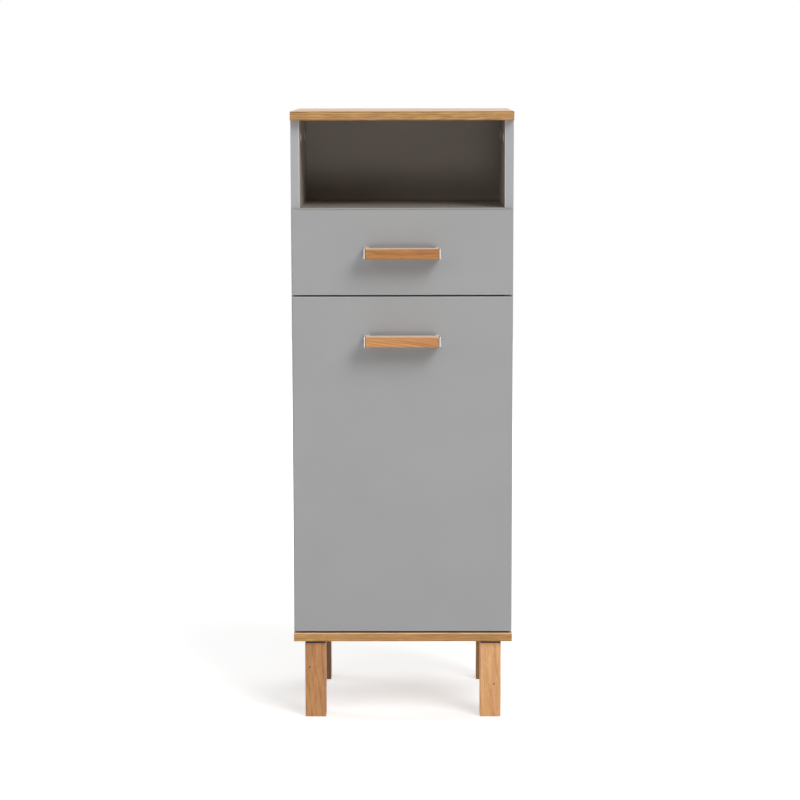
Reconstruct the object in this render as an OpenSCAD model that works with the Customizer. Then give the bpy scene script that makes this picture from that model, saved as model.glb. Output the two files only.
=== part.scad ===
// Mid-height bathroom cabinet on four oak legs: an open niche, a drawer on ball-bearing runners
// and a door on two concealed cup hinges. Millimetres, front towards -Y, floor at Z = 0.

/* [Cabinet] */
// Width over the side panels
cab_w = 400; // [360:5:500]
// Depth from the face of the fronts to the rear edges
cab_d = 330; // [325:5:400]
// Height from the floor to the top face
cab_h = 1110; // [1000:5:1250]
// Thickness of the oak and grey panels
panel_t = 16; // [15:0.5:18]
// Radius on the long edges of the panels
ease_r = 1; // [0.5:0.25:1.5]
// Thickness of the back panel
back_t = 3; // [2.5:0.5:4]
// Distance from the back panel to the rear edges
back_inset = 39; // [20:1:42]
// Clear height of the open niche
niche_h = 156.5; // [120:0.5:220]

/* [Fronts] */
// Height of the drawer front
drawer_front_h = 153; // [145:1:200]
// Gap between two fronts, and between the door and the bottom panel
front_gap = 3; // [2:0.5:4]
// How far the sides of a front stay back from the sides of the cabinet
front_reveal = 2; // [1.5:0.25:2.5]
// Gap between a front and the edges of the side panels
front_standoff = 2; // [2:0.1:2.5]
// Strip of the niche shelf's edge that shows above the drawer front
shelf_strip = 2.5; // [1:0.5:5]

/* [Legs] */
// Length of a leg
leg_h = 139; // [100:1:180]
// Width of the square leg
leg_w = 38; // [34:1:45]
// Distance from the leg to the side of the cabinet
leg_in_x = 20; // [10:1:40]
// Distance from a front leg to the front face
leg_in_front = 8; // [5:1:40]
// Distance from a back leg to the rear edges
leg_in_back = 15; // [10:1:40]
// Thickness of the mounting plate on a leg
leg_plate_t = 5; // [2.5:0.5:6]
// How far the mounting plate stays in from the faces of the leg
leg_plate_in = 1; // [1:0.5:4]
// Radius on the long edges of a leg
leg_ease = 1.5; // [0.5:0.5:3]

/* [Handles] */
// Distance between the two screws of a handle
handle_cc = 128; // [96:32:192]
// Height of the handle bar
handle_h = 19; // [14:1:24]
// Thickness of the oak bar
handle_bar_t = 24; // [16:1:26]
// How far a handle stands out from its front
handle_out = 40; // [38:1:46]
// Width of the bracket's foot
handle_foot_w = 9; // [8:0.5:12]
// Thickness of the bracket's lip over the end of the bar
handle_lip = 3.4; // [3:0.2:4]
// Width of the shadow line between the lip's outer strip and the bar
handle_line_w = 1.4; // [1:0.2:1.8]
// Distance from the top of the door to the middle of its handle
door_handle_drop = 78; // [50:1:300]

/* [Drawer box] */
// Height of the drawer box
box_h = 100; // [80:1:105]
// Thickness of the sides and back of the drawer box
box_t = 12; // [12:0.5:13]
// Height of the drawer box above the fixed shelf
box_lift = 14; // [8:1:20]
// Thickness of the drawer bottom
box_floor_t = 3; // [3:0.5:4]
// Distance from the lower edge of the box to the drawer bottom
box_floor_z = 10; // [8:1:14]

/* [Runners] */
// Length of a runner
runner_l = 250; // [200:10:250]
// Width of the gap that a runner fills
runner_w = 12.7; // [12.5:0.1:13.5]
// Distance that the drawer slides out
drawer_travel = 185; // [120:5:188]
// Height of the runner's middle above the lower edge of the box
runner_rise = 45; // [25:1:60]
// Balls in each row of a runner
ball_count = 7; // [3:1:7]

/* [Shelf in the cupboard] */
// Height of the shelf pins above the bottom panel
shelf_pin_z = 296; // [200:1:400]
// Distance between two holes for the pins
pin_pitch = 32; // [25:1:40]
// Distance from the pins' holes to the front and back of the shelf space
pin_in = 50; // [35:1:70]

/* [Hinges] */
// Distance from the top or bottom of the door to a hinge
hinge_in = 90; // [70:1:140]
// Distance from the edge of the door to the middle of the cup
cup_edge = 22.5; // [22:0.25:23.5]

/* [Hidden] */
$fn = 32;

// Colours
oak = [0.74, 0.55, 0.35];
leg_oak = [0.70, 0.50, 0.31];
grey = [0.64, 0.64, 0.64];
liner = [0.47, 0.45, 0.43];
steel = [0.72, 0.72, 0.74];
zinc = [0.62, 0.62, 0.64];
dark = [0.20, 0.19, 0.18];

// Clearances
fit = 0.1;        // round a screw, bolt or pin in its hole
seat_fit = 0.2;   // round a panel in its groove, and behind a shelf
pin_fit = 0.06;   // a turning pin in its hole
groove_fit = 0.5; // from the edge of a thin panel to the bottom of its groove
over = 1;         // how far a cutting tool runs past the face it leaves

// Levels, from the floor up
floor_z = leg_h + leg_plate_t;
bottom_z = floor_z + panel_t;
top_z = cab_h - panel_t;
niche_z = top_z - niche_h;
drawer_top = niche_z - shelf_strip;
drawer_low = drawer_top - drawer_front_h;
door_top = drawer_low - front_gap;
door_low = bottom_z + front_gap;
fixed_z = drawer_low - front_gap / 2 + panel_t / 2;

// Depths: the handles count in the depth of the whole, which is centred on Y = 0
front_y = -(cab_d - handle_out) / 2;
inner_y = front_y + panel_t;
side_y = inner_y + front_standoff;
rear_y = front_y + cab_d;
back_y = rear_y - back_inset - back_t;

inner_w = cab_w - 2 * panel_t;
front_w = cab_w - 2 * front_reveal;
side_d = rear_y - side_y;
shelf_d = back_y - seat_fit - side_y;
groove_d = 6;

// Cam fittings of the panels: places along the depth, size of the cam and of its bolt
cam_front = 55;
cam_from_back = 64;
cam_rear = back_y - side_y - cam_from_back;
dowel_offset = 32;
cam_r = 7.5;
cam_depth = 12.7;
cam_edge = 32;
bolt_bore_r = 4;
bolt_thread_r = 2.5;
bolt_thread_l = 11;
dowel_r = 4;
dowel_l = 30;
dowel_in = 20;
cam_slot_w = 1.6;   // cross in the face of a cam
cam_slot_d = 2;
cam_slot_l = 0.6;   // half the cross, as a share of the cam's radius
cam_sunk = 1;       // from the panel's face to the cam's
bolt_head = 0.45;   // the bolt's ball head, as a share of the cam's radius
bolt_neck = 0.6;    // its neck, as a share of the head
neck_slot = 0.75;   // the slot for the neck, as a share of the head
collar_h = 1.5;

// Basic shapes

// Rectangle with rounded corners
module round_rect(w, h, r) {
  translate([r, 0]) square([w - 2 * r, h]);
  translate([0, r]) square([w, h - 2 * r]);
  for (x = [r, w - r], y = [r, h - r]) translate([x, y]) circle(r);
}

// Board along X with its long edges rounded, from the corner of its lower front edge
module board_x(w, d, t, r = ease_r)
  rotate([90, 0, 90]) linear_extrude(w) round_rect(d, t, r);

// Lying panel, rounded along the front, the rear and both ends
module lying_panel(w, d, t, r = ease_r)
  translate([-w / 2, 0, 0]) intersection() {
    board_x(w, d, t, r);
    translate([0, d, 0]) rotate([90, 0, 0]) linear_extrude(d) round_rect(w, t, r);
  }

// Upright panel of a front, rounded on all four edges of both faces
module front_panel(w, h, t, r = ease_r)
  translate([-w / 2, 0, 0]) intersection() {
    linear_extrude(h) round_rect(w, t, r);
    board_x(w, t, h, r);
  }

// Countersunk screw along -Z with the top of its head at the origin
module csk_screw(r, l, head_r, head_h) {
  translate([0, 0, -head_h]) cylinder(r1 = r, r2 = head_r, h = head_h);
  translate([0, 0, -l]) cylinder(r = r, h = l - head_h / 2);
}

// Hole for that screw, with the head's seat
module csk_hole(r, l, head_r, head_h) {
  translate([0, 0, -head_h]) cylinder(r1 = r + fit, r2 = head_r + fit, h = head_h);
  cylinder(r = head_r + fit, h = over);
  translate([0, 0, -l - fit]) cylinder(r = r + fit, h = l);
}

// Copies on both sides of the middle plane
module both_sides() for (m = [0, 1]) mirror([m, 0, 0]) children();

// Cam fitting. The joint is at the origin and the bolt points along +Z into the panel that holds
// the cam, whose face is at +X, half a panel away.

module cam_lock(r = cam_r, depth = cam_depth, edge = cam_edge, t = panel_t) {
  translate([t / 2 - cam_sunk, 0, edge]) difference() {
    translate([cam_sunk + seat_fit - depth, 0, 0]) rotate([0, 90, 0])
      cylinder(r = r - fit, h = depth - cam_sunk - seat_fit);
    // cross for the screwdriver
    for (a = [0, 90]) rotate([a, 0, 0])
      translate([-cam_slot_d, -r * cam_slot_l, -cam_slot_w / 2])
        cube([cam_slot_d + over, 2 * r * cam_slot_l, cam_slot_w]);
    // hollow that pulls on the head of the bolt, and the slot that its neck runs in
    translate([cam_sunk - t / 2, 0, 0]) {
      sphere(r = r * bolt_head + fit);
      translate([0, 0, -r - over]) cylinder(r = r * bolt_head * neck_slot, h = r + over);
    }
  }
}

module cam_bolt(r = cam_r, edge = cam_edge) {
  translate([0, 0, -bolt_thread_l]) cylinder(r = bolt_thread_r, h = bolt_thread_l);
  cylinder(r = bolt_bore_r - fit, h = collar_h);
  cylinder(r = r * bolt_head * bolt_neck, h = edge);
  translate([0, 0, edge]) sphere(r = r * bolt_head);
}

// Cut in the panel that holds the cam
module cam_cut(r = cam_r, depth = cam_depth, edge = cam_edge, t = panel_t) {
  translate([t / 2 - depth, 0, edge]) rotate([0, 90, 0]) cylinder(r = r, h = depth + over);
  translate([0, 0, -over]) cylinder(r = bolt_bore_r, h = edge + over);
}

// Cut in the panel that holds the bolt's thread
module bolt_cut()
  translate([0, 0, -bolt_thread_l - fit]) cylinder(r = bolt_thread_r + fit, h = bolt_thread_l + fit + over);

module dowel_pin() translate([0, 0, dowel_in - dowel_l]) cylinder(r = dowel_r, h = dowel_l);

// One cut does for both panels that a dowel joins
module dowel_cut() translate([0, 0, dowel_in - dowel_l - fit])
  cylinder(r = dowel_r + fit, h = dowel_l + 2 * fit);

// Places along the depth of a joint: the cams, or the dowels outside them
cam_places = [cam_front, cam_rear];
dowel_places = [cam_front - dowel_offset, cam_rear + dowel_offset];

// Ends of the side panels, at the top and at the bottom panel
module at_panel_joints(places, top = true, bottom = true)
  both_sides() for (y = places) {
    if (top) translate([panel_t / 2 - cab_w / 2, side_y + y, top_z]) rotate([180, 0, 0]) children();
    if (bottom) translate([panel_t / 2 - cab_w / 2, side_y + y, bottom_z]) children();
  }

// Ends of a shelf between the side panels, where z is the shelf's top face
module at_shelf_joints(places, levels)
  both_sides() for (y = places, z = levels)
    translate([-inner_w / 2, side_y + y, z - panel_t / 2]) rotate([0, 90, 0]) children();

module back_groove()
  translate([-inner_w / 2 - groove_d, back_y - seat_fit, bottom_z - groove_d])
    cube([inner_w + 2 * groove_d, back_t + 2 * seat_fit, top_z - bottom_z + 2 * groove_d]);

// Legs, their plates and fasteners
hanger_r = 4;
hanger_in_leg = 32;
hanger_in_panel = 10;
plate_screw_r = 1.75;
plate_screw_l = 14;
plate_screw_head = 3.3;
plate_screw_head_h = 1.8;

leg_places = [for (x = [-1, 1], y = [-1, 1])
  [x * (cab_w / 2 - leg_in_x - leg_w / 2), y < 0 ? front_y + leg_in_front + leg_w / 2
                                                 : rear_y - leg_in_back - leg_w / 2]];
plate_w = leg_w - 2 * leg_plate_in;
plate_corner_r = 2;
plate_screw_at = 0.34 * plate_w;

module at_legs() for (p = leg_places) translate([p[0], p[1], 0]) children();

module hanger_cut() translate([0, 0, leg_h - hanger_in_leg - fit])
  cylinder(r = hanger_r + fit, h = hanger_in_leg + leg_plate_t + hanger_in_panel + 2 * fit);

module at_plate_screws() at_legs()
  for (x = [-1, 1], y = [-1, 1]) translate([x * plate_screw_at, y * plate_screw_at, leg_h])
    rotate([180, 0, 0]) children();

module leg(n) color(leg_oak) translate([leg_places[n][0], leg_places[n][1], 0]) difference() {
  translate([-leg_w / 2, -leg_w / 2, 0]) linear_extrude(leg_h) round_rect(leg_w, leg_w, leg_ease);
  hanger_cut();
}

module leg_plates() color(dark) difference() {
  at_legs() translate([-plate_w / 2, -plate_w / 2, leg_h]) linear_extrude(leg_plate_t)
    round_rect(plate_w, plate_w, plate_corner_r);
  at_legs() hanger_cut();
  at_plate_screws() csk_hole(plate_screw_r, plate_screw_l, plate_screw_head, plate_screw_head_h);
}

module leg_plate_screws() color(zinc)
  at_plate_screws() csk_screw(plate_screw_r, plate_screw_l, plate_screw_head, plate_screw_head_h);

module leg_hanger_bolts() color(zinc) at_legs()
  translate([0, 0, leg_h - hanger_in_leg])
    cylinder(r = hanger_r, h = hanger_in_leg + leg_plate_t + hanger_in_panel);

// Carcass

module top_panel() color(oak) difference() {
  translate([0, front_y, top_z]) lying_panel(cab_w, cab_d, panel_t);
  at_panel_joints(cam_places, bottom = false) bolt_cut();
  at_panel_joints(dowel_places, bottom = false) dowel_cut();
  back_groove();
}

module bottom_panel() color(oak) difference() {
  translate([0, front_y, floor_z]) lying_panel(cab_w, cab_d, panel_t);
  at_panel_joints(cam_places, top = false) bolt_cut();
  at_panel_joints(dowel_places, top = false) dowel_cut();
  back_groove();
  at_legs() hanger_cut();
  at_plate_screws() csk_hole(plate_screw_r, plate_screw_l, plate_screw_head, plate_screw_head_h);
}

// Holes for the pins of the loose shelf
pin_r = 2.5;
pin_in_side = 9;
pin_out = 8;
pin_rows = [for (k = [-2 : 2]) k * pin_pitch];
pin_places = [side_y + pin_in, back_y - pin_in];

module at_pin_holes(rows) both_sides() for (y = pin_places, dz = rows)
  translate([-inner_w / 2, y, bottom_z + shelf_pin_z + dz]) rotate([0, 90, 0]) children();

module side_panel(hinged) difference() {
  translate([-cab_w / 2, side_y, bottom_z]) linear_extrude(top_z - bottom_z)
    round_rect(panel_t, side_d, ease_r);
  at_panel_joints(cam_places) cam_cut();
  at_panel_joints(dowel_places) dowel_cut();
  at_shelf_joints(cam_places, [niche_z, fixed_z]) bolt_cut();
  at_shelf_joints(dowel_places, [niche_z, fixed_z]) dowel_cut();
  back_groove();
  at_pin_holes(pin_rows) translate([0, 0, -pin_in_side - fit])
    cylinder(r = pin_r + fit, h = pin_in_side + over);
  at_runner_side_screws() csk_hole(runner_screw_r, runner_screw_l, runner_screw_head, runner_t);
  if (hinged) at_hinges() at_plate_holes() csk_hole(euro_r, euro_l, euro_head, euro_head_h);
}

module side_panel_left() color(grey) side_panel(true);

module side_panel_right() color(grey) mirror([1, 0, 0]) side_panel(false);

module shelf_board(z) difference() {
  translate([-inner_w / 2, side_y, z - panel_t]) board_x(inner_w, shelf_d, panel_t);
  at_shelf_joints(cam_places, [z]) cam_cut();
  at_shelf_joints(dowel_places, [z]) dowel_cut();
}

module niche_shelf() color(grey) shelf_board(niche_z);

module fixed_shelf() color(grey) shelf_board(fixed_z);

// Loose shelf on its pins
loose_set_back = 20;
loose_side_gap = 0.8;
loose_back_gap = 1.5;
pin_flange_r = 4;
pin_flange_t = 0.6;

module adjustable_shelf() color(grey)
  translate([-inner_w / 2 + loose_side_gap, side_y + loose_set_back, bottom_z + shelf_pin_z + pin_r + fit])
    board_x(inner_w - 2 * loose_side_gap, shelf_d - loose_set_back - loose_back_gap, panel_t);

module shelf_pins() color(zinc) at_pin_holes([0]) {
  translate([0, 0, -pin_in_side]) cylinder(r = pin_r, h = pin_in_side + pin_out);
  cylinder(r = pin_flange_r, h = pin_flange_t);
}

module back_panel() color(liner)
  translate([groove_fit - inner_w / 2 - groove_d, back_y, bottom_z - groove_d + groove_fit])
    cube([inner_w + 2 * (groove_d - groove_fit), back_t, top_z - bottom_z + 2 * (groove_d - groove_fit)]);

module cam_locks() color(zinc) {
  at_panel_joints(cam_places) cam_lock();
  at_shelf_joints(cam_places, [niche_z, fixed_z]) cam_lock();
}

module cam_bolts() color(steel) {
  at_panel_joints(cam_places) cam_bolt();
  at_shelf_joints(cam_places, [niche_z, fixed_z]) cam_bolt();
}

module dowels() color(oak) {
  at_panel_joints(dowel_places) dowel_pin();
  at_shelf_joints(dowel_places, [niche_z, fixed_z]) dowel_pin();
}

// Ball-bearing runner. Its section is drawn for the left one: u runs from the side panel to the
// drawer, v up from the middle of the runner.
runner_t = 1.2;
ball_r = 2.1;
race_gap = 0.15;
race_r = ball_r + race_gap;
ball_u = runner_t + 5;
ball_v = 14;
cage_t = 0.8;
cage_gap = 0.2;
cage_u = runner_t + 0.3;
cage_lip = 0.6;
ball_pitch = 8;
cage_end = 2;
cage_l = ball_count * ball_pitch + 2 * cage_end;
runner_in = 2;
runner_y = side_y + runner_in;
runner_screw_r = 2;
runner_screw_l = 13;
runner_screw_head = 3.6;
runner_places = [0.14, 0.52, 0.9];
box_z = fixed_z + box_lift;
runner_z = box_z + runner_rise;
box_w = inner_w - 2 * runner_w;
box_d = runner_y + runner_l - inner_y;

// Half ring that the balls run in: outward of the ball centres (side = 1) or inward (side = -1)
module race(side) translate([ball_u, ball_v]) difference() {
  circle(race_r + runner_t);
  circle(race_r);
  keep = cage_t / 2 + cage_gap;
  translate([-2 * race_r, side > 0 ? keep - 4 * race_r : -keep]) square([4 * race_r, 4 * race_r]);
}

module outer_section() for (m = [0, 1]) mirror([0, m]) {
  rim = ball_v + race_r;
  race(1);
  translate([0, rim]) square([ball_u, runner_t]);
  square([runner_t, rim + runner_t]);
}

module inner_section() for (m = [0, 1]) mirror([0, m]) {
  rim = ball_v - race_r;
  race(-1);
  translate([ball_u, rim - runner_t]) square([runner_w - ball_u, runner_t]);
  translate([runner_w - runner_t, 0]) square([runner_t, rim]);
}

// Left runner's place, with the section extruded from y to y + l
module runner_bar(y, l) translate([-inner_w / 2, y + l, runner_z]) rotate([90, 0, 0])
  linear_extrude(l) children();

module at_runner_side_screws() both_sides() for (k = runner_places)
  translate([-inner_w / 2 + runner_t, runner_y + k * runner_l, runner_z]) rotate([0, 90, 0]) children();

module at_runner_drawer_screws() both_sides() for (k = runner_places)
  translate([-box_w / 2 - runner_t, runner_y + k * runner_l, runner_z]) rotate([0, -90, 0]) children();

module runner_outer_left() color(steel) difference() {
  runner_bar(runner_y, runner_l) outer_section();
  at_runner_side_screws() csk_hole(runner_screw_r, runner_screw_l, runner_screw_head, runner_t);
}

module runner_inner_left() color(steel) difference() {
  runner_bar(runner_y, runner_l) inner_section();
  at_runner_drawer_screws() csk_hole(runner_screw_r, box_screw_in, runner_screw_head, runner_t);
}

module runner_outer_right() color(steel) mirror([1, 0, 0]) runner_outer_left();

module runner_inner_right() color(steel) mirror([1, 0, 0]) runner_inner_left();

module runner_screws() color(zinc)
  at_runner_side_screws() csk_screw(runner_screw_r, runner_screw_l, runner_screw_head, runner_t);

// The cage travels half as far as the drawer and stays between both members
cage_y = runner_y + drawer_travel / 2 + cage_end / 2;

module at_balls() for (k = [0 : ball_count - 1], m = [-1, 1])
  translate([-inner_w / 2 + ball_u, cage_y + cage_l / 2 + (k - (ball_count - 1) / 2) * ball_pitch,
             runner_z + m * ball_v]) children();

module ball_cage_left() color(dark) difference() {
  runner_bar(cage_y, cage_l) {
    translate([cage_u, -ball_v - cage_t / 2]) square([cage_t, 2 * ball_v + cage_t]);
    for (m = [-1, 1]) translate([cage_u, m * ball_v - cage_t / 2])
      square([ball_u - cage_u + race_r + cage_lip, cage_t]);
  }
  at_balls() translate([0, 0, -over]) cylinder(r = ball_r + fit, h = 2 * over);
}

module balls_left() color(steel) at_balls() sphere(r = ball_r);

module ball_cage_right() color(dark) mirror([1, 0, 0]) ball_cage_left();

module balls_right() color(steel) mirror([1, 0, 0]) balls_left();

// Drawer
box_screw_r = 2.5;
box_screw_l = 36;
box_screw_head = 4.5;
box_screw_head_h = 3;
box_screw_in = 10;
box_groove = 6;
small_cam_r = 6;
small_cam_depth = 9.5;
small_cam_edge = 24;
box_joint_levels = [box_z + box_h * 0.28, box_z + box_h * 0.82];
box_end = inner_y + box_d;

module at_box_front() both_sides() for (z = box_joint_levels)
  translate([-box_w / 2 + box_t / 2, inner_y, z]) rotate([-90, 0, 0]) children();

module at_box_back() both_sides() for (z = box_joint_levels)
  translate([-box_w / 2, box_end - box_t / 2, z]) rotate([0, -90, 0]) children();

module floor_groove()
  translate([-box_w / 2 + box_t - box_groove, inner_y - box_groove, box_z + box_floor_z - seat_fit])
    cube([box_w - 2 * (box_t - box_groove), box_d - box_t + 2 * box_groove, box_floor_t + 2 * seat_fit]);

module drawer_front() color(grey) difference() {
  translate([0, front_y, drawer_low]) front_panel(front_w, drawer_front_h, panel_t);
  at_box_front() bolt_cut();
  floor_groove();
  translate([0, front_y, (drawer_low + drawer_top) / 2]) handle_holes();
}

module drawer_side_left() color(liner) difference() {
  translate([-box_w / 2, inner_y, box_z]) cube([box_t, box_d, box_h]);
  at_box_front() cam_cut(small_cam_r, small_cam_depth, small_cam_edge, box_t);
  at_box_back() csk_hole(box_screw_r, box_screw_l, box_screw_head, box_screw_head_h);
  at_runner_drawer_screws() csk_hole(runner_screw_r, box_screw_in, runner_screw_head, runner_t);
  floor_groove();
}

module drawer_side_right() color(liner) mirror([1, 0, 0]) drawer_side_left();

module drawer_back() color(liner) difference() {
  translate([-box_w / 2 + box_t, box_end - box_t, box_z]) cube([box_w - 2 * box_t, box_t, box_h]);
  at_box_back() csk_hole(box_screw_r, box_screw_l, box_screw_head, box_screw_head_h);
  floor_groove();
}

module drawer_bottom() color(liner)
  translate([groove_fit - box_w / 2 + box_t - box_groove, inner_y - box_groove + groove_fit,
             box_z + box_floor_z])
    cube([box_w - 2 * (box_t - box_groove + groove_fit),
          box_d - box_t + 2 * (box_groove - groove_fit), box_floor_t]);

module drawer_box_screws() color(zinc)
  at_box_back() csk_screw(box_screw_r, box_screw_l, box_screw_head, box_screw_head_h);

module drawer_cam_locks() color(zinc)
  at_box_front() cam_lock(small_cam_r, small_cam_depth, small_cam_edge, box_t);

module drawer_cam_bolts() color(steel) at_box_front() cam_bolt(small_cam_r, small_cam_edge);

module drawer_runner_screws() color(zinc)
  at_runner_drawer_screws() csk_screw(runner_screw_r, box_screw_in, runner_screw_head, runner_t);

// Handle: an oak bar between two cast brackets. The origin is on the face of the front.
bar_l = handle_cc + handle_foot_w - 2 * handle_lip;
bar_back = handle_out - handle_bar_t;
handle_screw_r = 2;
handle_screw_in = 9;
handle_screw_head = 4;
handle_screw_head_h = 2.4;
bar_ease = 1;
foot_ease = 0.5;
lip_line_in = 1.5; // depth of the shadow line

module at_handle_screws() for (x = [-1, 1])
  translate([x * handle_cc / 2, 0, 0]) rotate([-90, 0, 0]) children();

module handle_holes() at_handle_screws() translate([0, 0, -over])
  cylinder(r = handle_screw_r + fit, h = panel_t + 2 * over);

module handle_bar() color(oak)
  translate([-bar_l / 2, -handle_out, -handle_h / 2]) board_x(bar_l, handle_bar_t, handle_h, bar_ease);

module handle_brackets() color(zinc) difference() {
  for (m = [0, 1]) mirror([m, 0, 0]) translate([handle_cc / 2 - handle_foot_w / 2, 0, -handle_h / 2]) {
    translate([0, -bar_back, 0]) board_x(handle_foot_w, bar_back, handle_h, foot_ease);
    translate([handle_foot_w - handle_lip, -handle_out + lip_line_in, 0])
      board_x(handle_line_w + foot_ease, handle_out - lip_line_in, handle_h, foot_ease);
    translate([handle_foot_w - handle_lip + handle_line_w, -handle_out, 0])
      board_x(handle_lip - handle_line_w, handle_out, handle_h, bar_ease);
  }
  at_handle_screws() translate([0, 0, -handle_screw_in - fit])
    cylinder(r = handle_screw_r + fit, h = 2 * handle_screw_in);
}

module handle_screws() color(zinc) at_handle_screws() {
  translate([0, 0, -handle_screw_in]) cylinder(r = handle_screw_r, h = handle_screw_in + panel_t);
  translate([0, 0, panel_t]) cylinder(r = handle_screw_head, h = handle_screw_head_h);
}

module at_drawer_handle() translate([0, front_y, (drawer_low + drawer_top) / 2]) children();

module at_door_handle() translate([0, front_y, door_top - door_handle_drop]) children();

module drawer_handle_bar() at_drawer_handle() handle_bar();

module drawer_handle_brackets() at_drawer_handle() handle_brackets();

module drawer_handle_screws() at_drawer_handle() handle_screws();

module door_handle_bar() at_door_handle() handle_bar();

module door_handle_brackets() at_door_handle() handle_brackets();

module door_handle_screws() at_door_handle() handle_screws();

// Soft bumpers on the back of a front, over the edges of the side panels
bumper_r = 4;
bumper_gap = 0.25;
bumper_in = 20;

module bumper(x, z) translate([x, inner_y, z]) rotate([-90, 0, 0])
  cylinder(r = bumper_r, h = front_standoff - bumper_gap);

module drawer_bumpers() color(dark) for (x = [-1, 1])
  bumper(x * (cab_w / 2 - panel_t / 2), drawer_low + bumper_in);

module door_bumpers() color(dark) for (z = [door_low + bumper_in, door_top - bumper_in])
  bumper(cab_w / 2 - panel_t / 2, z);

// Concealed cup hinge, a four-bar linkage drawn in plan: x from the outer face of the side panel,
// y from its front edge. Two pins sit in the arm and two in the cup.
cup_x = front_reveal + cup_edge;
arm_pin_a = [panel_t + 18.9, 9.8];
arm_pin_b = [panel_t + 19.9, -front_standoff - 4.5];
cup_pin_a = [cup_x - 13.1, -front_standoff - 2.1];
cup_pin_b = [cup_x - 9.8, -front_standoff - 5];
hinge_levels = [door_low + hinge_in, door_top - hinge_in];

// Cup, with the ribs that hold its pins and the flange with its two screws
cup_r = 17.4;
cup_wall = 1.1;
cup_h = 11.3;
cup_floor = 1;
rib_in = 6.3;
rib_t = 2;
rib_past_pin = 2.6;
rib_low = 1.5;
flange_t = 1;
flange_w = 1.2;
flange_cut = 14;
ear_r = 6;
cup_screw_x = 9.5;
cup_screw_z = 22.5;
cup_screw_r = 1.75;
cup_screw_l = 11;
cup_screw_head = 3;

// Links, their eyes and pins
link_half = 6;
link_cheek = 1.6;
link_t = 1.6;
link_sag = 6.7;
inner_half = 3.8;
inner_t = 1.6;
inner_sag = 3.4;
pin_a_r = 1;
pin_b_r = 0.8;
sleeve_r = 2.5;
eye_a_r = 1.85;
eye_b_r = 1.7;
open_eye_r = 3.4;
open_play = 1.6;

// Arm
arm_half = 7.8;
arm_wall = 1.5;
arm_web = 1.2;
arm_lift = 0.3;
arm_h = 10.5;
arm_nose_r = 2.2;
arm_knuckle_r = 3;
arm_open_y = 12;
arm_neck_y = 15;
arm_tail_y = 24;
arm_end = 60;

// Mounting plate with its two screws, and the screw that holds the arm on its block
plate_t = 3;
plate_y = 37;
plate_ear_r = 7;
plate_screw_z = 16;
block_half = 6;
block_gap = 0.3;
block_in = 2;
arm_screw_in = 12;
arm_screw_l = 9;
arm_screw_head_h = 1.6;
euro_r = 2.5;
euro_l = 13;
euro_head = 4.4;
euro_head_h = 2.2;

module at_hinges() for (z = hinge_levels) translate([-cab_w / 2, side_y, z]) children();

module at_hinge(n) translate([-cab_w / 2, side_y, hinge_levels[n]]) children();

// Slab of a plan shape, from z = low to z = high, and the same below the middle
module plan_slab(low, high) for (m = [0, 1]) mirror([0, 0, m])
  translate([0, 0, low]) linear_extrude(high - low) children();

module full_slab(half) translate([0, 0, -half]) linear_extrude(2 * half) children();

// Pin, or the hole for it, through the plan point p
module plan_pin(p, r, half) translate([p[0], p[1], -half]) cylinder(r = r, h = 2 * half);

// Curved strip from one pin to another, bulging by sag to the right of the way there
module link_strip(from, to, sag, w) {
  chord = norm(to - from);
  radius = (chord * chord / 4 + sag * sag) / (2 * sag);
  centre = radius - sag;
  heading = atan2(to[1] - from[1], to[0] - from[0]);
  translate((from + to) / 2) rotate(heading) intersection() {
    translate([0, centre]) difference() {
      circle(radius + w / 2, $fn = 96);
      circle(radius - w / 2, $fn = 96);
    }
    polygon([[0, centre], [-chord, -centre], [chord, -centre]]);
  }
}

// Plan shape on the back of the door, with the middle of the cup at the origin
module at_cup() translate([cup_x, -front_standoff, 0]) children();

module hinge_cup(n) color(steel) at_hinge(n) difference() {
  union() {
    at_cup() rotate([90, 0, 0]) difference() {
      cylinder(r = cup_r, h = cup_h, $fn = 64);
      translate([0, 0, -over]) cylinder(r = cup_r - cup_wall, h = cup_h - cup_floor + over, $fn = 64);
    }
    intersection() {
      at_cup() rotate([90, 0, 0]) cylinder(r = cup_r - cup_wall / 2, h = cup_h - cup_floor / 2, $fn = 64);
      plan_slab(rib_in, rib_in + rib_t) translate([0, -front_standoff - cup_h])
        square([cup_pin_b[0] + rib_past_pin, cup_h - rib_low]);
    }
    at_cup() rotate([-90, 0, 0]) linear_extrude(flange_t) difference() {
      union() {
        circle(cup_r + flange_w, $fn = 64);
        translate([cup_screw_x - ear_r, -cup_screw_z]) square([2 * ear_r, 2 * cup_screw_z]);
        for (m = [-1, 1]) translate([cup_screw_x, m * cup_screw_z]) circle(ear_r);
      }
      circle(cup_r - cup_wall, $fn = 64);
      translate([-cup_r - ear_r, -cup_r]) square([cup_r + ear_r - flange_cut, 2 * cup_r]);
    }
  }
  plan_pin(cup_pin_a, pin_a_r + pin_fit / 2, rib_in + rib_t);
  plan_pin(cup_pin_b, pin_b_r + pin_fit / 2, rib_in + rib_t);
  at_cup_screws() csk_hole(cup_screw_r, cup_screw_l, cup_screw_head, flange_t);
}

module at_cup_screws() at_cup() for (m = [-1, 1])
  translate([cup_screw_x, flange_t, m * cup_screw_z]) rotate([-90, 0, 0]) children();

module hinge_cup_pins() color(zinc) at_hinges() {
  plan_pin(cup_pin_a, pin_a_r, rib_in + rib_t);
  plan_pin(cup_pin_b, pin_b_r, rib_in + rib_t);
}

module hinge_cup_screws() color(zinc) at_hinges()
  at_cup_screws() csk_screw(cup_screw_r, cup_screw_l, cup_screw_head, flange_t);

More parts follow.
